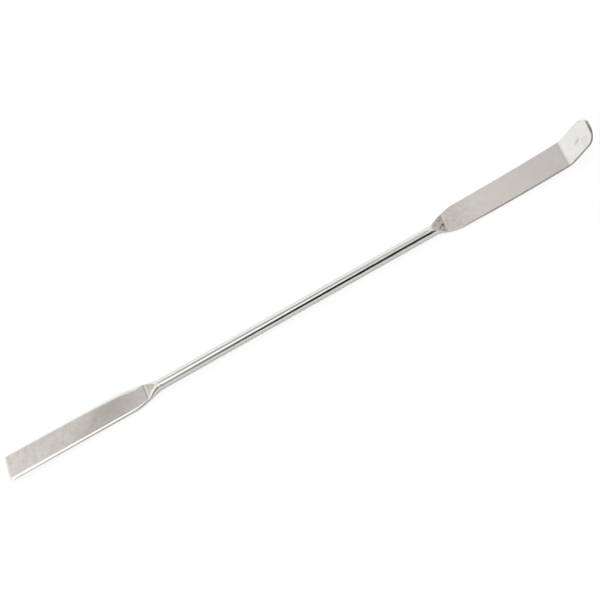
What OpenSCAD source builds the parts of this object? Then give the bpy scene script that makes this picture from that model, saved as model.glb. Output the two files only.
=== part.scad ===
// Double-ended lab spatula, forged in one piece from round stainless bar.
// A straight rod is pressed flat at both ends: a square-ended straight blade
// towards -X, and towards +X a blade whose tip is folded up.
// The rod's axis is the X axis and its middle is the origin. The spatula lies
// as it comes to rest: on the rod and on the near edges of both blades.

/* [Rod] */
// Diameter of the round rod
rod_d = 3.2; // [2.4:0.1:5]
// Length of the round rod between the two pressed necks
rod_len = 92.2; // [60:0.2:140]

/* [Straight blade] */
// Length from the rod to the square end
flat_len = 52.2; // [30:0.2:90]
// Thickness of the blade
flat_t = 1.05; // [0.8:0.05:1.6]
// Width of the blade where the neck has spread to full width
flat_neck_w = 7.5; // [6:0.1:12]
// Width of the blade at its square end
flat_end_w = 7.9; // [6:0.1:12]
// Length of the pressed ramp from the rod down to the blade's face
flat_ramp = 3.4; // [2:0.1:6]
// Length over which the near edge spreads from the rod
flat_near_flare = 9.2; // [6:0.1:14]
// Length over which the far edge spreads from the rod
flat_far_flare = 14; // [6:0.1:16]
// Slant of the end edge from square, in degrees, with the near corner further out
flat_slant = 6; // [0:0.5:12]
// Radius of the near corner
flat_near_corner = 1.3; // [0.8:0.1:2.4]
// Radius of the far corner
flat_far_corner = 1.0; // [0.8:0.1:2.4]
// How far the end stands up off the rod's axis
flat_lift = 1.6; // [0:0.05:3]
// How far the end stands to the near side of the rod's axis
flat_set = 0.38; // [0:0.02:1]

/* [Angled blade] */
// Length from the rod to the fold
hook_len = 42.6; // [30:0.1:80]
// Thickness of the blade
hook_t = 0.9; // [0.7:0.05:1.6]
// Width of the blade where the neck has spread to full width
hook_neck_w = 7.75; // [6:0.05:12]
// Width of the blade at the fold and over the tip
hook_fold_w = 8.15; // [6:0.05:12]
// Length of the pressed ramp from the rod down to the blade's face
hook_ramp = 3.9; // [2:0.1:6]
// Length over which both edges spread from the rod
hook_flare = 8.8; // [6:0.1:14]
// How far the blade curves up before the fold
hook_lift = 1.25; // [0:0.05:4]
// Length of that gentle curve
hook_curve = 29; // [12:1:29]

/* [Bent tip] */
// Length of the tip from the fold to its end edge
tip_len = 12.7; // [8:0.1:20]
// Angle of the fold, in degrees
tip_fold = 33.2; // [10:0.2:60]
// Radius of the fold at the middle of the metal
fold_r = 1.0; // [0.8:0.1:2]
// Radius of the near corner
tip_near_corner = 3.2; // [1:0.1:3.5]
// Length of the cut-off far corner along the side
tip_cut_len = 3.4; // [1:0.1:5]
// Length of the cut-off far corner along the end
tip_cut_w = 1.9; // [0.5:0.1:2.5]
// Radius where the cut-off corner meets the end edge
tip_cut_r = 0.7; // [0.3:0.1:1.2]

/* [Hidden] */
$fn = 64;

// Facets round each side of a blade's section
SIDE = 16;
// Steps over a neck, over the gentle curve, round a corner and round the fold
NECK_STEPS = 14;
CURVE_STEPS = 6;
CORNER_STEPS = 7;
FOLD_STEPS = 5;

rod_r = rod_d / 2;
// How far an edge bulges, as a share of half the thickness: 1 is a half round, less is squarer
round_edge = 1;
flat_near_edge = 1.45;
flat_far_edge = 2;
hook_edge = 0.55;
// How much of its thickness a blade keeps at its very end
flat_end_keep = 0.4;
hook_end_keep = 0.75;
// Depth of a blade's first section inside the rod, and how far it stands proud there
root_depth = 0.8;
root_proud = 1.006;
// Smallest flat that a section keeps, as a share of its height
least_flat = 0.02;

steel = "#c9c6c1";

// ---- sections -------------------------------------------------------------

// Section from y = near to y = far, of half height h, with both edges bulged
function section(near, far, h, near_edge, far_edge) =
    let (
        most = (far - near) / 2 - least_flat * h,
        near_side = min(near_edge * h, most),
        far_side = min(far_edge * h, most)
    )
    concat(
        [for (i = [0:SIDE]) let (a = 90 - 180 * i / SIDE)
            [far - far_side + far_side * cos(a), h * sin(a)]],
        [for (i = [0:SIDE]) let (a = -90 - 180 * i / SIDE)
            [near + near_side + near_side * cos(a), h * sin(a)]]
    );

// The same section in space: at [x, z] of the middle line, pitched up, slanted in plan, and aside
function placed(points, middle, pitch, slant, aside = 0) =
    [for (p = points)
        let (along = -p[0] * tan(slant))
        [
            middle[0] + along * cos(pitch) - p[1] * sin(pitch),
            p[0] + aside,
            middle[1] + along * sin(pitch) + p[1] * cos(pitch)
        ]];

// Closed skin over a row of sections
module skin(rings) {
    count = len(rings[0]);
    last = len(rings) - 1;
    points = [for (ring = rings, p = ring) p];
    sides = [for (i = [0:last - 1], j = [0:count - 1])
        let (k = (j + 1) % count, a = i * count, b = a + count)
        [a + j, a + k, b + k, b + j]];
    start_cap = [for (j = [count - 1:-1:0]) j];
    end_cap = [for (j = [0:count - 1]) last * count + j];
    polyhedron(points = points, faces = concat([start_cap], sides, [end_cap]), convexity = 4);
}

// ---- rules shared by both ends ---------------------------------------------

// Half width of one edge while it spreads from the rod to full over a length
function spread(s, full, length) =
    rod_r + (full - rod_r) * sin(90 * min(max(s / length, 0), 1));

// Half height of the metal down the pressed ramp
function pressed(s, ramp, t) =
    rod_r + (t / 2 - rod_r) * min(max(s / ramp, 0), 1);

// The edge's bulge on its way from the rod's half round to its own
function edge_at(s, length, edge) =
    round_edge + (edge - round_edge) * min(max(s / length, 0), 1);

// What a corner of radius r takes off a side, d from the end
function corner(d, r) =
    d < r ? r - sqrt(r * r - (r - d) * (r - d)) : 0;

// Share of its thickness that a blade has, d from its end
function rounded_end(d, t, keep) =
    let (depth = t / 2)
    d < depth ? max(keep, sqrt(1 - pow(1 - d / depth, 2))) : 1;

// Distances from the end at which a corner of radius r is cut, from r down to 0
function corner_cuts(r) =
    [for (i = [0:CORNER_STEPS]) r * (1 - sin(90 * i / CORNER_STEPS))];

// The smaller roll about the rod at which an edge reaches the table, by repeated guess
function roll_to(half_w, t, edge, guess = 15, turns = 12) =
    let (
        h = t / 2,
        side = edge * h,
        drop = sqrt(pow(side * sin(guess), 2) + pow(h * cos(guess), 2)),
        next = asin((rod_r - drop) / (half_w - side))
    )
    turns == 0 ? next : roll_to(half_w, t, edge, next, turns - 1);

rest_roll = min(
    roll_to(flat_neck_w / 2, flat_t, flat_near_edge),
    roll_to(hook_neck_w / 2, hook_t, hook_edge)
);

// Two lengths inside the rod where a blade's skin starts, standing just proud of it
roots = [-root_depth, 0];
function root_section() =
    let (r = rod_r * root_proud)
    section(-r, r, r, round_edge, round_edge);

// ---- straight blade ----------------------------------------------------------

flat_flare = max(flat_near_flare, flat_far_flare);

// Edge of the straight blade before its corner is taken off
function flat_side(s, flare) =
    let (
        grown = max(s - flare, 0) / (flat_len - flare),
        full = (flat_neck_w + (flat_end_w - flat_neck_w) * grown) / 2
    )
    spread(s, full, flare);

function flat_section(s) =
    let (
        d = flat_len - s,
        share = rounded_end(d, flat_t, flat_end_keep),
        near = corner(d, flat_near_corner) - flat_side(s, flat_near_flare),
        far = flat_side(s, flat_far_flare) - corner(d, flat_far_corner)
    )
    section(near, far, share * pressed(s, flat_ramp, flat_t),
        edge_at(s, flat_near_flare, flat_near_edge), edge_at(s, flat_far_flare, flat_far_edge));

// The blade leaves the rod at a steady pitch, and a little towards the near side
flat_pitch = atan(flat_lift / flat_len);
flat_square = flat_len - 2 * max(flat_near_corner, flat_far_corner);

function flat_slant_at(s) =
    flat_slant * min(max((s - flat_flare) / (flat_square - flat_flare), 0), 1);

flat_cuts = concat(
    [for (i = [1:NECK_STEPS]) flat_flare * i / NECK_STEPS],
    [flat_ramp, flat_square],
    [for (d = corner_cuts(max(flat_near_corner, flat_far_corner))) flat_len - d]
);

module straight_blade() {
    skin(concat(
        [for (s = roots) placed(root_section(), [s, 0], 0, 0)],
        [for (s = sorted(flat_cuts))
            placed(flat_section(s), [s * cos(flat_pitch), s * sin(flat_pitch)],
                flat_pitch * min(s / flat_ramp, 1), flat_slant_at(s), -flat_set * s / flat_len)]
    ));
}

// ---- angled blade --------------------------------------------------------------

curve_start = hook_len - hook_curve;
curve_pitch = atan(2 * hook_lift / hook_curve);
fold_arc = fold_r * tip_fold * PI / 180;
// The fold's arc reaches this far to each side of its sharp corner
fold_reach = fold_r * tan(tip_fold / 2);
bend_start = hook_len - fold_reach;
bend_end = bend_start + fold_arc;
tip_end = bend_end + tip_len - fold_reach;

function hook_side(s) =
    let (
        grown = min(max(s - hook_flare, 0) / (hook_len - hook_flare), 1),
        full = (hook_neck_w + (hook_fold_w - hook_neck_w) * grown) / 2
    )
    spread(s, full, hook_flare);

function tip_cut(d) =
    tip_cut_w * max(1 - d / tip_cut_len, 0) + corner(d, tip_cut_r);

function hook_section(s) =
    let (
        d = tip_end - s,
        share = rounded_end(d, hook_t, hook_end_keep),
        near = corner(d, tip_near_corner) - hook_side(s),
        far = hook_side(s) - tip_cut(d)
    )
    let (edge = edge_at(s, hook_flare, hook_edge))
    section(near, far, share * pressed(s, hook_ramp, hook_t), edge, edge);

// Middle line of the angled blade as [x, z, pitch]
function curved(s) =
    let (u = max(s - curve_start, 0) / hook_curve)
    [s, hook_lift * u * u, curve_pitch * u];

function hook_middle(s) =
    let (start = curved(bend_start), turn = tip_fold * min((s - bend_start) / fold_arc, 1))
    s <= bend_start ? curved(s) :
    let (
        pitch = start[2] + turn,
        run = max(s - bend_end, 0),
        x = start[0] + fold_r * (sin(pitch) - sin(start[2])) + run * cos(pitch),
        z = start[1] + fold_r * (cos(start[2]) - cos(pitch)) + run * sin(pitch)
    )
    [x, z, pitch];

hook_cuts = concat(
    [for (i = [1:NECK_STEPS]) hook_flare * i / NECK_STEPS],
    [hook_ramp],
    [for (i = [0:CURVE_STEPS - 1]) curve_start + (bend_start - curve_start) * i / CURVE_STEPS],
    [for (i = [0:FOLD_STEPS]) bend_start + fold_arc * i / FOLD_STEPS],
    [tip_end - tip_cut_len, tip_end - tip_cut_r],
    [for (d = corner_cuts(tip_near_corner)) tip_end - d]
);

module angled_blade() {
    skin(concat(
        [for (s = roots) placed(root_section(), [s, 0], 0, 0)],
        [for (s = sorted(hook_cuts))
            let (m = hook_middle(s))
            placed(hook_section(s), [m[0], m[1]], m[2], 0)]
    ));
}

// Numbers in rising order
function sorted(list) =
    len(list) <= 1 ? list :
    let (
        pivot = list[floor(len(list) / 2)],
        lower = [for (v = list) if (v < pivot) v],
        same = [pivot],
        higher = [for (v = list) if (v > pivot) v]
    )
    concat(sorted(lower), same, sorted(higher));

module rod() {
    rotate([0, 90, 0]) cylinder(d = rod_d, h = rod_len, center = true);
}

module spatula() {
    color(steel)
    rotate([rest_roll, 0, 0])
    union() {
        rod();
        translate([rod_len / 2, 0, 0]) angled_blade();
        translate([-rod_len / 2, 0, 0]) mirror([1, 0, 0]) straight_blade();
    }
}

spatula();
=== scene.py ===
import math

import bmesh
import bpy
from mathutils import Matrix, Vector


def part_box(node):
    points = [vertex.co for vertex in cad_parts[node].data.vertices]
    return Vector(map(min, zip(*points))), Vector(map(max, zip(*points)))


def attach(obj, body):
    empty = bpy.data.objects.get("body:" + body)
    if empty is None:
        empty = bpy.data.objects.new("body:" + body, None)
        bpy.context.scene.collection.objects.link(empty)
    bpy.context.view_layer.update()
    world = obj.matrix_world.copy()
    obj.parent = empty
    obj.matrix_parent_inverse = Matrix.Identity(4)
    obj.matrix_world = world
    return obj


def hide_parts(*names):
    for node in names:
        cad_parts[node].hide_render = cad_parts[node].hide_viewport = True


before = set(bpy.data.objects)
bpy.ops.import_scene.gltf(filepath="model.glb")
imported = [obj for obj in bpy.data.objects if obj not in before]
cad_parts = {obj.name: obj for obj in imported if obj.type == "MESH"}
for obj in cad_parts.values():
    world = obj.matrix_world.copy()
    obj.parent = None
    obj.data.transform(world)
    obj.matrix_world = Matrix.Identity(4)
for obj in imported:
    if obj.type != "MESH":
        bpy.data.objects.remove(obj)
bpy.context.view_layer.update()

bl_info = {
    "name": "Double-ended lab spatula",
    "version": (1, 0, 0),
    "blender": (4, 5, 0),
    "location": "3D View > Sidebar > Spatula",
    "description": "Forges a one-piece stainless lab spatula and sets it on a plain studio floor",
    "category": "Add Mesh",
}

TABLE_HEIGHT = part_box("spatula")[0][2]
MM = 0.001

# Lanes of faces round the bar. The tenth lane up from each side ends a blade's flat face.
LANES = 96
FLAT_LANE = math.cos(2 * math.pi * 10 / LANES)

# Rings of faces along the round rod
ROD_RINGS = 62

# Ends of the round rod where the lanes move to their places on the blades
LEAD = 1.2 * MM
STRAIGHT_LEAD = 0.9 * MM

# Length over which the rod's round section changes to a blade's
CHANGE = 0.6 * MM

# Places in the list of finishes
FACE_FINISH = 1
EDGE_FINISH = 2

# Pits in the angled blade's ramp: centre and size in millimetres, and depth
PITS = (
    ((49.3, -0.2, 0.6), (0.55, 0.65, 2), 1.3),
    ((48.45, -0.6, 0.8), (0.5, 0.5, 2), 0.8),
    ((49.1, -1.7, 0.6), (0.6, 0.5, 2), 0.5),
    ((48.7, 1.5, 0.8), (0.8, 0.45, 2), 0.4),
    ((47.4, 0.6, 1.0), (0.6, 0.45, 2), 0.3),
)

# Glows that the cards share
LAMP_GLOW = (1.08, 1.07, 1.05)
BRIGHT_GLOW = (1.3, 1.29, 1.27)
LOW_GLOW = (0.62, 0.6, 0.58)

# The camera's place in metres and its turn in degrees
CAMERA_PLACE = (0.160354, -0.427214, 0.464097)
CAMERA_TURN = (35.25311, 29.26110, -14.49988)


# ---- settings ---------------------------------------------------------------------


def length(label, about, default, least=0.0):
    """A property that holds a length in metres."""
    return bpy.props.FloatProperty(
        name=label, description=about, default=default, min=least, unit="LENGTH", precision=5
    )


def turn(label, about, default):
    """A property that holds an angle, given here in degrees."""
    return bpy.props.FloatProperty(
        name=label, description=about, default=math.radians(default), unit="ROTATION"
    )


def share(label, about, default, top=1.0):
    """A property that holds a plain number from nought up."""
    return bpy.props.FloatProperty(name=label, description=about, default=default, min=0.0, max=top)


def colour(label, about, default):
    """A property that holds a colour."""
    return bpy.props.FloatVectorProperty(
        name=label, description=about, default=default, size=3, min=0.0, max=1.0, subtype="COLOR"
    )


class RodSizes(bpy.types.PropertyGroup):
    """The round bar between the two blades."""

    diameter: length("Diameter", "Diameter of the round rod", 3.2 * MM)
    reach: length("Length", "Length of the round rod between the necks", 92.2 * MM)
    roll: turn("Roll", "How far the spatula rolls about its rod as it lies", 18.7585337)


class StraightBladeSizes(bpy.types.PropertyGroup):
    """The straight blade with the square end."""

    reach: length("Length", "Length from the rod to the square end", 52.1 * MM)
    thickness: length("Thickness", "Thickness of the blade", 1.05 * MM)
    neck_width: length("Neck width", "Width where the neck has spread", 7.5 * MM)
    end_width: length("End width", "Width at the square end", 7.9 * MM)
    ramp_start: length("Ramp start", "Where the pressed ramp starts, past the rod", 0.85 * MM)
    ramp: length("Ramp", "Where the pressed ramp meets the flat, past the rod", 3.85 * MM)
    lead_in: length("Lead-in", "Half length of the soft start of the ramp", 1.7 * MM)
    crease: length("Crease", "Half length of the soft foot of the ramp", 0.12 * MM)
    waist: length("Waist", "Length over which the rod's roundness is worked out", 7.3 * MM)
    near_flare: length("Near flare", "Length over which the near edge spreads", 9.2 * MM)
    far_flare: length("Far flare", "Length over which the far edge spreads", 14 * MM)
    slant: turn("Slant", "Slant of the square end", 6.0)
    near_corner: length("Near corner", "Radius of the near corner", 1.3 * MM)
    far_corner: length("Far corner", "Radius of the far corner", 1.0 * MM)
    lift: length("Lift", "How far the end stands up off the rod's axis", 1.6 * MM)
    aside: length("Set", "How far the end stands to the near side", 0.38 * MM)
    near_bulge: share("Near bulge", "Depth of the near edge's bulge, in half thicknesses", 2.15, 3.0)
    far_bulge: share("Far bulge", "Depth of the far edge's bulge, in half thicknesses", 3.5, 4.0)
    far_bulge_end: share("Far bulge at the end", "The same towards the square end", 1.25, 4.0)
    far_bulge_kept: share("Far bulge kept", "Share of the far flare before the bulge shrinks", 0.7)
    far_bulge_fade: share("Far bulge fade", "How slowly it shrinks, in far flares", 0.57)
    far_crown: share("Far crown", "Half height of the far edge, in half thicknesses", 1.05, 2.0)
    end_keep: share("End thickness", "Share of the thickness left at the very end", 0.4)


class AngledBladeSizes(bpy.types.PropertyGroup):
    """The blade whose tip is folded up."""

    reach: length("Length", "Length from the rod to the fold", 42.8 * MM)
    thickness: length("Thickness", "Thickness of the blade", 0.9 * MM)
    neck_width: length("Neck width", "Width where the neck has spread", 7.65 * MM)
    fold_width: length("Fold width", "Width at the fold and over the tip", 8.03 * MM)
    ramp_start: length("Ramp start", "Where the pressed ramp starts, past the rod", -0.4 * MM, -MM)
    ramp: length("Ramp", "Where the pressed ramp meets the flat, past the rod", 3.7 * MM)
    lead_in: length("Lead-in", "Half length of the soft start of the ramp", 0.9 * MM)
    crease: length("Crease", "Half length of the soft foot of the ramp", 0.03 * MM)
    flare: length("Flare", "Length over which the far edge spreads", 8.8 * MM)
    near_start: length("Near start", "Where the near edge starts to spread, past the rod", 1.0 * MM)
    near_flare: length("Near flare", "Length over which the near edge spreads", 8.0 * MM)
    lift: length("Lift", "How far the blade curves up before the fold", 1.25 * MM)
    curve: length("Curve", "Length of that gentle curve", 29 * MM)
    aside: length("Set", "How far the blade stands to the far side", 0.12 * MM)
    waist: length("Waist", "Length over which the rod's roundness is worked out", 8.8 * MM)
    bulge: share("Bulge", "Depth of each edge's bulge, in half thicknesses", 0.55, 3.0)
    under: share("Under", "How much deeper the edges are rolled underneath", 2.4, 5.0)
    end_keep: share("End thickness", "Share of the thickness left at the very end", 0.75)
    tip: length("Tip", "Length of the tip from the fold to its end", 12.3 * MM)
    fold: turn("Fold", "Angle of the fold", 33.2)
    fold_slant: turn("Fold slant", "How far the fold lies off square in plan", 2.3)
    fold_radius: length("Fold radius", "Radius of the fold at the middle of the metal", 4.0 * MM)
    end_lean: length("End lean", "How far the end face leans back over the blade", 0.4 * MM)
    lean_fade: share("Lean fade", "Length over which the lean fades, in leans", 1.6, 4.0)
    near_corner: length("Near corner", "Radius of the tip's near corner", 3.35 * MM)
    cut_length: length("Cut length", "Length of the cut far corner along the side", 3.1 * MM)
    cut_width: length("Cut width", "Length of the cut far corner along the end", 1.55 * MM)
    cut_radius: length("Cut radius", "Radius where the cut meets the end", 0.4 * MM)


class SteelLook(bpy.types.PropertyGroup):
    """Colours and polish of the stainless steel."""

    steel: colour("Steel", "Colour of the clean steel", (0.84, 0.832, 0.796))
    scale: colour("Scale", "Colour of the scale left in pits and marks", (0.2, 0.18, 0.16))
    tarnish: colour("Tarnish", "Colour of the brownish film on the straight neck", (0.47, 0.43, 0.38))
    # The edges' dark colour is partly the rough cut metal and partly painted shade of the shadowed
    # floor that the near edge mirrors.
    sheared_and_shade: colour("Sheared metal", "Colour of the sheared edges", (0.42, 0.402, 0.38))
    end_face: colour("End face", "Colour of the cut end face of the tip", (0.43, 0.39, 0.345))
    rod_roughness: share("Rod roughness", "How matt the polished rod is", 0.07)
    blade_roughness: share("Blade roughness", "How matt the ground blades are", 0.25)
    ramp_roughness: share("Ramp roughness", "How matt the pressed ramps are", 0.36)


class StudioLook(bpy.types.PropertyGroup):
    """Floor, surroundings and camera."""

    floor: colour("Floor", "Colour of the floor", (0.74, 0.74, 0.74))
    surround: colour("Surround", "Colour of the light all round", (1.0, 1.0, 1.0))
    ceiling: colour("Ceiling", "Colour of the ceiling that the blades mirror", (0.662, 0.632, 0.63))
    shade: colour("Shade", "Colour of the ceiling's darker middle", (0.428, 0.404, 0.4))
    lens: bpy.props.FloatProperty(
        name="Lens", description="Focal length of the camera", default=138.204, unit="CAMERA"
    )


# ---- modelling by hand --------------------------------------------------------------


def start_clean():
    """Leaves nothing selected, so that the next tool acts on its own piece only."""
    if bpy.context.object and bpy.context.object.mode != "OBJECT":
        bpy.ops.object.mode_set(mode="OBJECT")
    bpy.ops.object.select_all(action="DESELECT")


def pick(obj, kind, wanted):
    """In edit mode, selects just the edges or faces that the test wants."""
    bpy.ops.mesh.select_mode(type=kind)
    bpy.ops.mesh.select_all(action="DESELECT")
    mesh = bmesh.from_edit_mesh(obj.data)
    items = {"VERT": mesh.verts, "EDGE": mesh.edges, "FACE": mesh.faces}[kind]
    for item in items:
        if wanted(item):
            item.select_set(True)
    mesh.select_flush_mode()
    bmesh.update_edit_mesh(obj.data)


def draw_out(obj, side, start, span, rings):
    """Extrudes one end of the bar by a span, and cuts the new stretch into rings."""
    pick(obj, "FACE", lambda f: side * f.normal.x > 0.9 and side * f.calc_center_median().x > 0)
    bpy.ops.mesh.extrude_region_move(TRANSFORM_OT_translate={"value": (side * span, 0, 0)})
    if rings > 1:
        low, high = start + 0.01 * span, start + 0.99 * span
        pick(
            obj,
            "EDGE",
            lambda e: abs(e.verts[0].co.x - e.verts[1].co.x) > 0.9 * span
            and low < side * (e.verts[0].co.x + e.verts[1].co.x) / 2 < high,
        )
        bpy.ops.mesh.subdivide(number_cuts=rings - 1)


def mix(low, high, at):
    """A value at between 0 and 1 of the way from low to high."""
    return low + (high - low) * min(max(at, 0.0), 1.0)


def softened(along, soft):
    """Nought before a start and the distance after it, with a soft bend between."""
    if along <= -soft:
        return 0.0
    return along if along >= soft else (along + soft) ** 2 / (4 * soft)


def pressed(along, rod, blade):
    """Half thickness left by the press, a distance along from the rod."""
    start = blade.ramp_start
    run = softened(along - start, blade.lead_in) - softened(along - blade.ramp, blade.crease)
    return rod + (blade.thickness / 2 - rod) * run / (blade.ramp - start)


def corner(left, radius):
    """What a corner's radius takes off a side, a distance left from the end."""
    return radius - math.sqrt(radius**2 - (radius - left) ** 2) if left < radius else 0.0


def spread(along, rod, full, flare):
    """Half width of an edge while it spreads from the rod."""
    share = min(softened(along, CHANGE) / flare, 1.0)
    return rod + (full - rod) * math.sin(math.pi / 2 * share)


def end_share(left, thickness, keep):
    """Share of the thickness that is left a distance from the end."""
    depth = thickness / 2
    if left >= depth:
        return 1.0
    return max(keep, math.sqrt(max(1 - (1 - left / depth) ** 2, 0.0)))


def flat_lanes(along, lead):
    """Cosine of the lane where the flat meets the edge: all edge on the rod, then fixed."""
    return FLAT_LANE * min(max((along + lead) / CHANGE, 0.0), 1.0)


def on_section(ring, angle):
    """Where the lane at an angle round the bar lies on a pressed section, as (y, z, on the flat)."""
    run, rise = math.cos(angle), math.sin(angle)
    side, up = math.copysign(1, run), math.copysign(1, rise)
    reach = ring["far"] if side > 0 else -ring["near"]
    bulge = ring["far_bulge"] if side > 0 else ring["near_bulge"]
    bulge = min(bulge * (ring["under"] if rise < -1e-6 else 1.0), 0.98 * reach)
    crown = ring["far_crown"] if side > 0 else ring["near_crown"]
    cut = math.acos(min(ring["half"] / crown, 1.0))
    meet = reach - bulge + bulge * math.sin(cut)
    flat = ring["lanes"]
    across = abs(run)
    if across <= flat + 1e-6 and flat > 0:
        return side * meet * across / flat, up * ring["half"], True
    share = math.acos(min(across, 1.0)) / math.acos(flat)
    lean = math.pi / 2 - share * (math.pi / 2 - cut)
    y = reach - bulge + bulge * math.sin(lean)
    return side * y, up * crown * math.cos(lean), False


def placed(ring, y, z):
    """A section's point in space: on the blade's path, leant back, and set aside."""
    x, rise, pitch = ring["path"](y)
    back = ring["lean"] * (1 + z / ring["half"]) / 2
    return Vector((
        x - back * math.cos(pitch) - z * math.sin(pitch),
        y + ring["aside"],
        rise - back * math.sin(pitch) + z * math.cos(pitch),
    ))


def straight_ring(rod, blade, along):
    """Section of the straight blade, a distance along it from the rod."""
    left = blade.reach - along
    radius = rod.diameter / 2

    def side(flare):
        grown = max(along - flare, 0.0) / (blade.reach - flare)
        return spread(along, radius, mix(blade.neck_width, blade.end_width, grown) / 2, flare)

    tilt = math.atan(blade.lift / blade.reach)
    risen = max(along, 0.0)
    flare = max(blade.near_flare, blade.far_flare)
    square = blade.reach - 2 * max(blade.near_corner, blade.far_corner)
    skew = math.tan(mix(0.0, blade.slant, (along - flare) / (square - flare)))

    def path(y):
        run = risen - y * skew
        pitch = tilt * min(risen / blade.ramp, 1.0)
        return run * math.cos(tilt) + along - risen, run * math.sin(tilt), pitch

    depth = blade.thickness / 2
    keep = end_share(left, blade.thickness, blade.end_keep)
    half = pressed(along, radius, blade)
    share = min(max(along / blade.waist, 0.0), 1.0)
    worn = share**2 * (3 - 2 * share)
    past = max(along / blade.far_flare - blade.far_bulge_kept, 0.0)
    left_over = math.exp(-past / blade.far_bulge_fade)
    far_bulge = mix(blade.far_bulge_end, blade.far_bulge, left_over) * depth
    return {
        "near": corner(left, blade.near_corner) - side(blade.near_flare),
        "far": side(blade.far_flare) - corner(left, blade.far_corner),
        "half": half * keep,
        "near_crown": half * keep,
        "far_crown": max(mix(radius, blade.far_crown * depth, worn), half) * keep,
        "near_bulge": half * mix(1.0, blade.near_bulge, along / blade.near_flare),
        "far_bulge": mix(radius, far_bulge, worn),
        "under": 1.0,
        "lanes": flat_lanes(along, STRAIGHT_LEAD),
        "path": path,
        "lean": 0.0,
        "aside": -blade.aside * risen / blade.reach,
    }


def fold_places(blade):
    """Start and end of the fold's arc, and the tip's end, along the metal's middle line."""
    reach = blade.fold_radius * math.tan(blade.fold / 2)
    start = blade.reach - reach
    end = start + blade.fold_radius * blade.fold
    return start, end, end + blade.tip - reach


def angled_ring(rod, blade, along):
    """Section of the angled blade, a distance along its middle line from the rod."""
    start, end, tip_end = fold_places(blade)
    left = tip_end - along
    radius = rod.diameter / 2
    grown = mix(0.0, 1.0, (along - blade.flare) / (blade.reach - blade.flare))
    width = mix(blade.neck_width, blade.fold_width, grown)
    near = spread(along - blade.near_start, radius, width / 2, blade.near_flare)
    far = spread(along, radius, width / 2, blade.flare)
    cut = blade.cut_width * max(1 - left / blade.cut_length, 0.0) + corner(left, blade.cut_radius)

    def path(y):
        skew = y * math.tan(blade.fold_slant)
        at = along + skew
        share = max(min(at, start) - (blade.reach - blade.curve), 0.0) / blade.curve
        x, z = min(at, start) - skew, blade.lift * share**2
        first = pitch = math.atan(2 * blade.lift / blade.curve) * share
        if at > start:
            pitch += blade.fold * min((at - start) / (end - start), 1.0)
            run = max(at - end, 0.0)
            x += blade.fold_radius * (math.sin(pitch) - math.sin(first)) + run * math.cos(pitch)
            z += blade.fold_radius * (math.cos(first) - math.cos(pitch)) + run * math.sin(pitch)
        return x, z, pitch

    depth = blade.thickness / 2
    keep = mix(blade.end_keep, 1.0, left / blade.near_corner)
    half = pressed(along, radius, blade)
    worn = min(max(along / blade.waist, 0.0), 1.0) ** 2
    bulge = mix(radius, blade.bulge * depth, worn)
    risen = max(along, 0.0) / blade.flare
    return {
        "near": corner(left, blade.near_corner) - near,
        "far": far - cut,
        "half": half * keep,
        "near_crown": max(mix(radius, depth, worn), half) * keep,
        "far_crown": max(mix(radius, depth, worn), half) * keep,
        "near_bulge": bulge,
        "far_bulge": bulge,
        "under": mix(1.0, blade.under, (along - blade.flare) / blade.flare),
        "lanes": flat_lanes(along, LEAD),
        "path": path,
        "aside": blade.aside * math.sin(math.pi / 2 * min(risen, 1.0)),
        "lean": blade.end_lean * max(1 - left / (blade.lean_fade * blade.end_lean), 0.0),
    }


def bunched(along, end, radius):
    """Moves evenly cut rings closer together towards a rounded corner at the end."""
    if along <= end - radius:
        return along
    even = min((along - end + radius) / radius, 1.0)
    return end - radius * (1 - math.sin(math.pi / 2 * even))


def press_end(obj, rod, side, end, radius, ring_at):
    """Presses one drawn-out end of the bar to its sections, and gives its faces their finish."""
    mesh = bmesh.from_edit_mesh(obj.data)
    half = rod.reach / 2
    moved, flat = {}, {}
    rings = {}
    for vert in mesh.verts:
        along = side * vert.co.x - half
        if along < -LEAD + 1e-7:
            continue
        key = round(along, 7)
        if key not in rings:
            rings[key] = ring_at(bunched(along, end, radius))
        ring = rings[key]
        y, z, on_flat = on_section(ring, math.atan2(vert.co.z, vert.co.y))
        spot = placed(ring, y, z)
        moved[vert] = Vector((side * (half + spot.x), spot.y, spot.z))
        flat[vert] = on_flat
    for face in mesh.faces:
        if not all(v in moved for v in face.verts):
            continue
        spot = sum((moved[v] for v in face.verts), Vector()) / len(face.verts)
        is_end = len(face.verts) > 4
        is_near_edge = side > 0 and spot.x > half and spot.y < 0
        if not is_end and all(flat[v] for v in face.verts):
            face.material_index = FACE_FINISH
        elif is_end or is_near_edge:
            face.material_index = EDGE_FINISH
    for vert, spot in moved.items():
        vert.co = spot
    bmesh.update_edit_mesh(obj.data)


# ---- shader maths ---------------------------------------------------------------------


def tinted(colour, *shares):
    """A colour with one share of all its parts left, or a share of each."""
    if len(shares) == 1:
        shares *= 3
    return tuple(part * share for part, share in zip(colour, shares))


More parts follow.
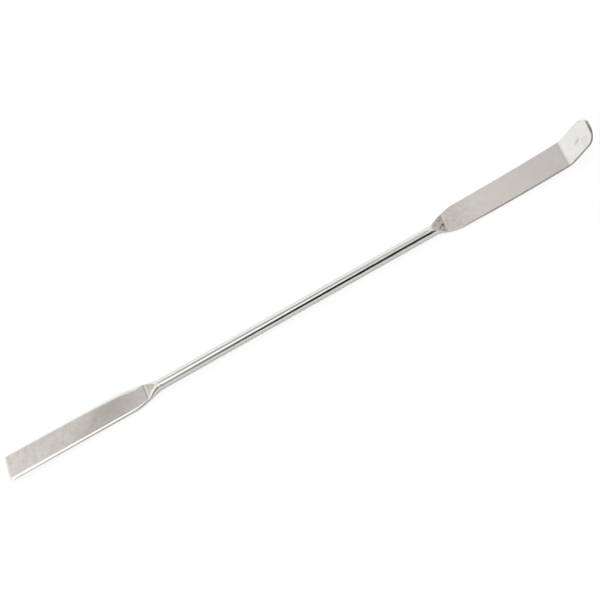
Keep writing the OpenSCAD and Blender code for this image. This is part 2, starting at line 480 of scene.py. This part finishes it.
class Wire:
    """A shader value that adds a Math node for each operation done on it."""

    def __init__(self, recipe, socket):
        self.recipe = recipe
        self.socket = socket

    def maths(self, operation, *others):
        inputs = dict(enumerate((self, *others)))
        return self.recipe.add("ShaderNodeMath", {"operation": operation}, inputs)

    def flipped(self, operation, other):
        return self.recipe.add("ShaderNodeMath", {"operation": operation}, {0: other, 1: self})

    def __add__(self, other):
        return self.maths("ADD", other)

    __radd__ = __add__

    def __sub__(self, other):
        return self.maths("SUBTRACT", other)

    def __rsub__(self, other):
        return self.flipped("SUBTRACT", other)

    def __mul__(self, other):
        return self.maths("MULTIPLY", other)

    __rmul__ = __mul__

    def __truediv__(self, other):
        return self.maths("DIVIDE", other)

    def __rtruediv__(self, other):
        return self.flipped("DIVIDE", other)

    def __abs__(self):
        return self.maths("ABSOLUTE")

    def least(self, other):
        return self.maths("MINIMUM", other)

    def most(self, other):
        return self.maths("MAXIMUM", other)

    def ramp(self, low, high, start=0.0, end=1.0):
        """Rises softly from start to end while the value goes from low to high."""
        settings = {"interpolation_type": "SMOOTHSTEP"}
        inputs = {0: self, 1: low, 2: high, 3: start, 4: end}
        return self.recipe.add("ShaderNodeMapRange", settings, inputs)


class Recipe:
    """One material under construction."""

    def __init__(self, name):
        self.material = bpy.data.materials.new(name)
        self.material.use_nodes = True
        self.tree = self.material.node_tree
        self.tree.nodes.clear()

    def add(self, kind, settings=None, inputs=None, out=0):
        """Adds a node: its settings first, then the values or wires of its sockets."""
        node = self.tree.nodes.new(kind)
        for name, value in (settings or {}).items():
            setattr(node, name, value)
        for name, value in (inputs or {}).items():
            if isinstance(value, Wire):
                self.tree.links.new(value.socket, node.inputs[name])
            else:
                node.inputs[name].default_value = value
        return Wire(self, node.outputs[out] if node.outputs else None)

    def place(self, roll):
        """Object coordinates in millimetres, turned so that the blades lie level."""
        coordinates = self.add("ShaderNodeTexCoord", out="Object")
        level = {"Vector": coordinates, "Rotation": (-roll, 0, 0), "Scale": (1000, 1000, 1000)}
        return self.add("ShaderNodeMapping", {"vector_type": "POINT"}, level)

    def parts(self, vector):
        """The x, y and z of a vector."""
        node = self.add("ShaderNodeSeparateXYZ", inputs={"Vector": vector})
        return [Wire(self, output) for output in node.socket.node.outputs]

    def stretched(self, vector, scale):
        """The same vector, stretched by a scale for each axis."""
        return self.add(
            "ShaderNodeVectorMath", {"operation": "MULTIPLY"}, {0: vector, 1: scale}
        )

    def noise(self, vector, scale, detail=2.0, roughness=0.5):
        """Soft noise from 0 to 1."""
        inputs = {"Vector": vector, "Scale": scale, "Detail": detail, "Roughness": roughness}
        return self.add("ShaderNodeTexNoise", {"noise_dimensions": "3D"}, inputs)

    def blend(self, factor, first, second):
        """Goes from the first colour to the second."""
        inputs = {"Factor": factor}
        for name, value in ((6, first), (7, second)):
            inputs[name] = value if isinstance(value, Wire) else (*value, 1.0)
        return self.add("ShaderNodeMix", {"data_type": "RGBA"}, inputs, out=2)

    def patch(self, place, centre, size, turned=0.0):
        """1 at a centre and 0 outside an egg of that size, turned in plan by degrees."""
        settings = {"vector_type": "TEXTURE"}
        inputs = {
            "Vector": place,
            "Location": centre,
            "Rotation": (0, 0, math.radians(turned)),
            "Scale": size,
        }
        local = self.add("ShaderNodeMapping", settings, inputs)
        reach = self.add("ShaderNodeVectorMath", {"operation": "LENGTH"}, {0: local}, out="Value")
        return reach.ramp(1.0, 0.35)

    def bump(self, height, distance):
        """Raises the surface by a height of this distance in metres."""
        inputs = {"Height": height, "Distance": distance, "Strength": 1.0}
        return self.add("ShaderNodeBump", inputs=inputs)

    def finish(self, base, roughness, normal):
        """Ends the recipe in one metal shader."""
        inputs = {"Base Color": base, "Roughness": roughness, "Metallic": 1.0, "Normal": normal}
        shader = self.add("ShaderNodeBsdfPrincipled", inputs=inputs)
        self.add("ShaderNodeOutputMaterial", inputs={"Surface": shader})
        return self.material


def polished_rod_steel(look, roll):
    """Bright drawn and polished bar with faint drawing lines, duller round the straight neck."""
    recipe = Recipe("polished_rod_steel")
    place = recipe.place(roll)
    x, y, z = recipe.parts(place)
    lines = recipe.noise(recipe.stretched(place, (0.35, 9, 9)), 1.0, 3)
    cloud = recipe.noise(recipe.stretched(place, (0.4, 1, 1)), 0.8, 2)
    tone = lines.ramp(0.35, 0.75) * 0.5 + cloud.ramp(0.35, 0.75) * 0.5
    base = recipe.blend(tone, look.steel, tinted(look.steel, 0.94))
    worked = x.ramp(-42.5, -46.5) * x.ramp(-59, -55)
    roughness = look.rod_roughness + 0.06 * (cloud - 0.5) + 0.04 * (lines - 0.5) + 0.2 * worked
    return recipe.finish(base, roughness, recipe.bump(lines, 0.000004))


def reflection_toned_faces(recipe, x, look, tone):
    """Colour of the ground faces, with painted reflection tones: the straight blade painted paler and
    bluer, and the angled blade before its fold slightly darker and pinker.
    """
    angled = recipe.blend(x.ramp(82, 88), tinted(look.steel, 0.985, 0.966, 0.98), look.steel)
    blade_reflection_tones = recipe.blend(x.ramp(10, -10), angled, tinted(look.steel, 1.06, 1.07, 1.085))
    return recipe.blend(tone, blade_reflection_tones, tinted(look.steel, 0.935, 0.915, 0.9))


def dark_reflection_faces(recipe, place, look, clean, soft):
    """A painted dark reflection over the neck half of the straight blade."""
    x, y, z = recipe.parts(place)
    across = (0.62 + 0.38 * y.ramp(-3, 0.3)) * y.ramp(3.3, 2.0)
    along = (x - 1.6 * y).ramp(-73, -66.5) * x.ramp(-52, -62)
    dark_reflection = along * across * (0.6 + 0.4 * soft.ramp(0.2, 0.5))
    return recipe.blend(dark_reflection * 0.9, clean, tinted(look.steel, 0.78, 0.765, 0.74))


def neck_blotch_faces(recipe, x, look, reflection_darkened, mottle, soft):
    """Darker mottled blotches towards the angled blade's neck, and fine specks on both blades."""
    neck_blotches = x.ramp(74, 52) * (0.25 + 0.75 * mottle.ramp(0.3, 0.65)) * x.ramp(40, 41)
    blotched = recipe.blend(neck_blotches, reflection_darkened, tinted(look.steel, 0.86, 0.855, 0.85))
    specks = mottle.ramp(0.42, 0.7) * 0.55 + soft.ramp(0.42, 0.68) * 0.45
    spotty = x.ramp(61, 51) * (0.085 + 0.1 * x.ramp(0, 1))
    return recipe.blend(specks * spotty, blotched, tinted(look.steel, 0.25, 0.17, 0.05))


def marked_faces(recipe, place, look, face, mottle, scratch):
    """A scratch, a smudge and two rubbed spots on the tip."""
    smudge = recipe.patch(place, (96.45, 3.5, 7.9), (1.1, 0.5, 1.1)) * 0.5
    dull = recipe.patch(place, (95.4, -1.9, 7.1), (2.6, 2.2, 2.6)) * mottle.ramp(0.2, 0.7) * 0.2
    rub = recipe.patch(place, (95.7, -1.3, 7.3), (1.0, 0.6, 1.0)) * 0.26
    marks = (scratch * (0.4 + 0.55 * mottle)).least(1).most(smudge).most(dull).most(rub)
    return recipe.blend(marks, face, tinted(look.steel, 0.6))


def forged_face_steel(look, roll):
    """Satin faces of the blades and their pressed ramps, mottled, pitted, with a brown film and
    specks, painted reflection tones, a painted dark reflection on the straight blade and a painted
    shade line in its ramp's crease.
    """
    recipe = Recipe("forged_face_steel")
    place = recipe.place(roll)
    x, y, z = recipe.parts(place)
    grain = recipe.noise(recipe.stretched(place, (0.5, 14, 14)), 1.0, 3)
    cloud = recipe.noise(recipe.stretched(place, (0.16, 0.3, 0.3)), 1.0, 3, 0.55)
    mottle = recipe.noise(place, 1.2, 4, 0.65)
    lumps = recipe.noise(place, 2.3, 2, 0.6)
    soft = recipe.noise(place, 0.5, 3, 0.6)

    tone = cloud.ramp(0.3, 0.7) * 0.45 + soft.ramp(0.35, 0.65) * 0.4 + grain * 0.15
    clean = reflection_toned_faces(recipe, x, look, tone)
    reflection_darkened = dark_reflection_faces(recipe, place, look, clean, soft)
    blotch_toned = neck_blotch_faces(recipe, x, look, reflection_darkened, mottle, soft)
    scratch = recipe.patch(place, (93.2, -0.3, 5.4), (1.9, 0.58, 1.9), turned=20)
    face = marked_faces(recipe, place, look, blotch_toned, mottle, scratch)

    # The angled blade's ramp is dark and lumpy, and the straight blade's has a brown film.
    ragged = x + 1.3 * (mottle - 0.5)
    right = ragged.ramp(46.1, 46.7) * ragged.ramp(50.1, 49.75)
    left = x.ramp(-46.65, -46.85) * x.ramp(-50.05, -49.9)
    lumpy = mottle.ramp(0.3, 0.7) + lumps.ramp(0.35, 0.65)
    dark_tone = lumpy * (0.2 + 0.35 * ragged.ramp(47, 49.8))
    dark = recipe.blend(dark_tone, (0.65, 0.625, 0.585), (0.37, 0.35, 0.32))
    film = mottle.ramp(0.2, 0.6) * x.ramp(-49.5, -49.0) * (0.45 + 0.55 * y.ramp(-2.0, 0.3))
    brown = recipe.blend(film, tinted(look.steel, 0.86), look.tarnish)
    plain = recipe.blend(right, recipe.blend(left, face, brown), dark)

    # Scale stays in the pits, and a dark line of painted shade lies in the crease at the straight
    # ramp's foot.
    pits = sum(recipe.patch(place, centre, size) * depth for centre, size, depth in PITS).least(1)
    crease = x.ramp(-50.5, -50.1) * x.ramp(-49.6, -49.9) * 0.55
    base = recipe.blend(pits.most(crease), plain, look.scale)

    ramps = right.most(left)
    satin = look.blade_roughness + 0.08 * (soft - 0.5) + 0.05 * (grain - 0.5)
    roughness = satin + ramps * (look.ramp_roughness - look.blade_roughness) + 0.1 * scratch
    height = grain * 0.2 + soft * 0.8 + ramps * 4 * mottle - 6 * pits - 3 * scratch
    return recipe.finish(base, roughness, recipe.bump(height, 0.000008))


def shaded_sheared_edge_steel(look, roll):
    """Edges that are polished near the necks, and shear-cut, brownish and dark towards the ends; the
    dark is partly the rough cut metal and partly painted shade of the shadowed floor that the angled
    blade's near edge mirrors.
    """
    recipe = Recipe("shaded_sheared_edge_steel")
    place = recipe.place(roll)
    x, y, z = recipe.parts(place)
    tear = recipe.noise(recipe.stretched(place, (1, 1.5, 6)), 1.6, 4, 0.65)
    sheared_and_shade = abs(x).ramp(56, 64)
    edge = recipe.blend(tear.ramp(0.3, 0.7), look.sheared_and_shade, tinted(look.sheared_and_shade, 1.2))
    end_face = x.ramp(97.0, 97.5) * y.ramp(-2.4, -1.4)
    cut = recipe.blend(y.ramp(1.2, -0.6), look.end_face, tinted(look.end_face, 0.66))
    corner_edge = x.ramp(94.5, 96.0) * y.ramp(-1.6, -2.4) * 0.22
    raw = recipe.blend(end_face, recipe.blend(corner_edge, edge, look.scale), cut)
    base = recipe.blend(sheared_and_shade, look.steel, raw)
    roughness = look.rod_roughness + sheared_and_shade * (0.3 + 0.16 * (tear - 0.5))
    return recipe.finish(base, roughness, recipe.bump(tear * sheared_and_shade, 0.00003))


def plain_floor(look):
    """Plain pale paper, lit up to white where it is seen straight, with its shadow kept."""
    recipe = Recipe("plain_floor")
    place = recipe.add("ShaderNodeTexCoord", out="Object")
    fibre = recipe.noise(place, 40, 2)
    base = recipe.blend(fibre, look.floor, tinted(look.floor, 0.995))
    inputs = {"Base Color": base, "Roughness": 0.9}
    paper = recipe.add("ShaderNodeBsdfPrincipled", inputs=inputs)
    white = recipe.add("ShaderNodeEmission", inputs={"Color": (1, 1, 1, 1), "Strength": 1.08})
    seen = recipe.add("ShaderNodeLightPath", out="Is Camera Ray")
    mirrored = recipe.add("ShaderNodeLightPath", out="Is Glossy Ray")
    through = recipe.add("ShaderNodeLightPath", out="Is Transmission Ray")
    lift = seen * 0.79 + (mirrored + through) * 0.04
    mixed = recipe.add("ShaderNodeMixShader", inputs={0: lift, 1: paper, 2: white})
    recipe.add("ShaderNodeOutputMaterial", inputs={"Surface": mixed})
    return recipe.material


def glowing_card(name, places, glows, core=None):
    """A card seen only in the steel, whose glow changes from each place along x to the next."""
    recipe = Recipe(name)
    x, y, z = recipe.parts(recipe.add("ShaderNodeTexCoord", out="Object"))
    glow = glows[0]
    for start, end, colour in zip(places, places[1:], glows[1:]):
        glow = recipe.blend(x.ramp(start, end), glow, colour)
    if core:
        along = x.ramp(-0.175, -0.215) * x.ramp(-0.41, -0.37)
        across = y.ramp(-0.19, -0.13) * y.ramp(0.42, 0.34)
        glow = recipe.blend(along * across, glow, core)
    shader = recipe.add("ShaderNodeEmission", inputs={"Color": glow, "Strength": 1.0})
    recipe.add("ShaderNodeOutputMaterial", inputs={"Surface": shader})
    return recipe.material


# ---- operators ------------------------------------------------------------------------


class SPATULA_OT_forge(bpy.types.Operator):
    """Forge the whole spatula from one round bar"""

    bl_idname = "spatula.forge"
    bl_label = "Forge the spatula"

    def execute(self, context):
        scene = context.scene
        rod, flat, hook = scene.spatula_rod, scene.spatula_straight, scene.spatula_angled
        half = rod.reach / 2
        start_clean()
        bpy.ops.mesh.primitive_cylinder_add(
            vertices=LANES,
            radius=rod.diameter / 2,
            depth=rod.reach - 2 * LEAD,
            end_fill_type="NGON",
            rotation=(0, math.pi / 2, 0),
        )
        obj = context.object
        obj.name = obj.data.name = "spatula_forging"
        bpy.ops.object.transform_apply(location=True, rotation=True, scale=True)
        for material in forging_steels(scene.spatula_steel, rod.roll):
            obj.data.materials.append(material)
        bpy.ops.object.mode_set(mode="EDIT")
        pick(obj, "EDGE", lambda e: abs(e.verts[0].co.x - e.verts[1].co.x) > half)
        bpy.ops.mesh.subdivide(number_cuts=ROD_RINGS - 1)
        self.draw_blade(obj, 1, half - LEAD, hook_spans(hook))
        self.draw_blade(obj, -1, half - LEAD, flat_spans(flat))
        press_end(
            obj, rod, 1, fold_places(hook)[2], hook.near_corner,
            lambda along: angled_ring(rod, hook, along),
        )
        press_end(
            obj, rod, -1, flat.reach, flat.near_corner,
            lambda along: straight_ring(rod, flat, along),
        )
        bpy.ops.mesh.select_all(action="SELECT")
        bpy.ops.transform.rotate(
            value=-rod.roll, orient_axis="X", orient_type="GLOBAL", center_override=(0, 0, 0)
        )
        bpy.ops.mesh.normals_make_consistent(inside=False)
        bpy.ops.object.mode_set(mode="OBJECT")
        bpy.ops.object.shade_smooth_by_angle(angle=math.radians(14))
        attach(obj, "root")
        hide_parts("spatula")
        return {"FINISHED"}

    def draw_blade(self, obj, side, start, spans):
        """Draws out one end of the bar, stretch by stretch."""
        for span, rings in spans:
            draw_out(obj, side, start, span, rings)
            start += span


def flat_spans(flat):
    """Stretches of the straight blade, with its lead, and how many rings each is cut into."""
    neck = max(flat.near_flare, flat.far_flare)
    last = max(flat.near_corner, flat.far_corner)
    return [
        (LEAD, 8),
        (flat.ramp, 26),
        (neck - flat.ramp, 34),
        (flat.reach - neck - last, 44),
        (last, 14),
    ]


def hook_spans(hook):
    """Stretches of the angled blade, with its lead, and how many rings each is cut into."""
    start, end, tip_end = fold_places(hook)
    last = max(hook.near_corner, hook.cut_length)
    return [
        (LEAD, 10),
        (hook.ramp, 28),
        (hook.flare - hook.ramp, 16),
        (start - hook.flare, 44),
        (end - start, 8),
        (tip_end - end - last, 20),
        (last, 26),
    ]


def forging_steels(look, roll):
    """The three finishes of the one piece of steel, in the order of its material slots."""
    return [
        polished_rod_steel(look, roll),
        forged_face_steel(look, roll),
        shaded_sheared_edge_steel(look, roll),
    ]


class SPATULA_OT_stage(bpy.types.Operator):
    """Lay the pale floor and hang the cards that the steel mirrors"""

    bl_idname = "spatula.stage"
    bl_label = "Set the stage"

    def execute(self, context):
        look = context.scene.spatula_studio
        self.lay_floor(look)
        self.hang_ceiling(look)
        self.hang_softbox()
        self.hang_flag()
        self.light_room(context.scene, look)
        return {"FINISHED"}

    def lay_floor(self, look):
        """Lays the floor at the height that the spatula rests on."""
        start_clean()
        bpy.ops.mesh.primitive_plane_add(size=6, location=(0, 0, TABLE_HEIGHT))
        floor = bpy.context.object
        floor.name = "studio_floor"
        bpy.ops.object.transform_apply(location=True, rotation=True, scale=True)
        floor.data.materials.append(plain_floor(look))

    def hang_ceiling(self, look):
        """Hangs the ceiling that the flat faces mirror."""
        plain, brighter, darker = look.ceiling, tinted(look.ceiling, 1.36), tinted(look.ceiling, 0.94)
        glow = glowing_card(
            "ceiling_glow",
            (-0.43, -0.36, -0.17, -0.11, -0.02, 0.2, 0.32),
            (brighter, plain, plain, darker, LAMP_GLOW, LAMP_GLOW, LOW_GLOW),
            look.shade,
        )
        self.hang(glow, "ceiling_card", (0, 0.135, 1.0), (1.6, 0.67), 0)

    def hang_softbox(self):
        """Hangs the soft box that the near edges and the rod mirror."""
        dim = (0.74, 0.72, 0.70)
        glow = glowing_card(
            "softbox_glow",
            (-0.33, -0.25, -0.20, -0.12, -0.02, 0.2, 0.32),
            (BRIGHT_GLOW, (1.04, 1.03, 1.01), dim, dim, LAMP_GLOW, LAMP_GLOW, LOW_GLOW),
        )
        self.hang(glow, "softbox_card", (0, -0.52, 1.0), (1.6, 0.64), 0)

    def hang_flag(self):
        """Stands up the dark flag that gives the rod its dark line."""
        pale, middling, grey = (0.85, 0.84, 0.82), (0.5, 0.49, 0.47), (0.37, 0.36, 0.34)
        dusk, black = (0.07, 0.066, 0.062), (0.02, 0.018, 0.016)
        glow = glowing_card(
            "flag_shade",
            (-0.49, -0.43, -0.395, -0.36, -0.335, -0.285, -0.2, -0.12, -0.02),
            (BRIGHT_GLOW, pale, middling, grey, grey, black, black, dusk, grey),
        )
        self.hang(glow, "flag_card", (0, -0.9, 0.59), (3.2, 1.08), 90)

    def hang(self, glow, name, at, size, tipped):
        """Hangs a card that only the steel sees, tipped up from level by degrees."""
        start_clean()
        bpy.ops.mesh.primitive_plane_add(size=1)
        card = bpy.context.object
        card.name = name
        card.scale = (*size, 1)
        card.rotation_euler = (math.radians(tipped), 0, 0)
        card.location = at
        bpy.ops.object.transform_apply(location=True, rotation=True, scale=True)
        card.data.materials.append(glow)
        card.visible_camera = False
        card.visible_diffuse = False
        card.visible_transmission = False
        card.visible_shadow = False

    def light_room(self, scene, look):
        """Soft even light from all round."""
        world = bpy.data.worlds.new("studio_surround")
        scene.world = world
        world.use_nodes = True
        shader = world.node_tree.nodes["Background"]
        shader.inputs["Color"].default_value = (*look.surround, 1.0)
        shader.inputs["Strength"].default_value = 1.0


class SPATULA_OT_camera(bpy.types.Operator):
    """Set up the camera above the near side"""

    bl_idname = "spatula.camera"
    bl_label = "Set the camera"

    def execute(self, context):
        start_clean()
        bpy.ops.object.camera_add(
            location=CAMERA_PLACE,
            rotation=[math.radians(angle) for angle in CAMERA_TURN],
        )
        camera = context.object
        camera.name = "studio_camera"
        camera.data.sensor_width = 36
        camera.data.lens = context.scene.spatula_studio.lens
        camera.data.clip_start = 0.01
        context.scene.camera = camera
        context.scene.view_settings.view_transform = "Standard"
        return {"FINISHED"}


class SPATULA_PT_panel(bpy.types.Panel):
    """Sizes, finishes and steps of the spatula"""

    bl_idname = "SPATULA_PT_panel"
    bl_label = "Lab spatula"
    bl_space_type = "VIEW_3D"
    bl_region_type = "UI"
    bl_category = "Spatula"

    def draw(self, context):
        scene = context.scene
        for title, group in GROUPS.items():
            box = self.layout.box()
            box.label(text=title)
            settings = getattr(scene, group[0])
            for name in settings.bl_rna.properties.keys():
                if name not in ("rna_type", "name"):
                    box.prop(settings, name)
        for operator in STEPS:
            self.layout.operator(operator.bl_idname)


GROUPS = {
    "Rod": ("spatula_rod", RodSizes),
    "Straight blade": ("spatula_straight", StraightBladeSizes),
    "Angled blade": ("spatula_angled", AngledBladeSizes),
    "Steel": ("spatula_steel", SteelLook),
    "Studio": ("spatula_studio", StudioLook),
}
STEPS = (SPATULA_OT_forge, SPATULA_OT_stage, SPATULA_OT_camera)


def register():
    for name, group in GROUPS.values():
        bpy.utils.register_class(group)
        setattr(bpy.types.Scene, name, bpy.props.PointerProperty(type=group))
    for cls in (*STEPS, SPATULA_PT_panel):
        bpy.utils.register_class(cls)


def unregister():
    for cls in (SPATULA_PT_panel, *reversed(STEPS)):
        bpy.utils.unregister_class(cls)
    for name, group in reversed(list(GROUPS.values())):
        delattr(bpy.types.Scene, name)
        bpy.utils.unregister_class(group)


def main():
    """Registers the add-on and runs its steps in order."""
    register()
    bpy.ops.spatula.camera()
    bpy.ops.spatula.forge()
    bpy.ops.spatula.stage()


if __name__ == "__main__":
    main()
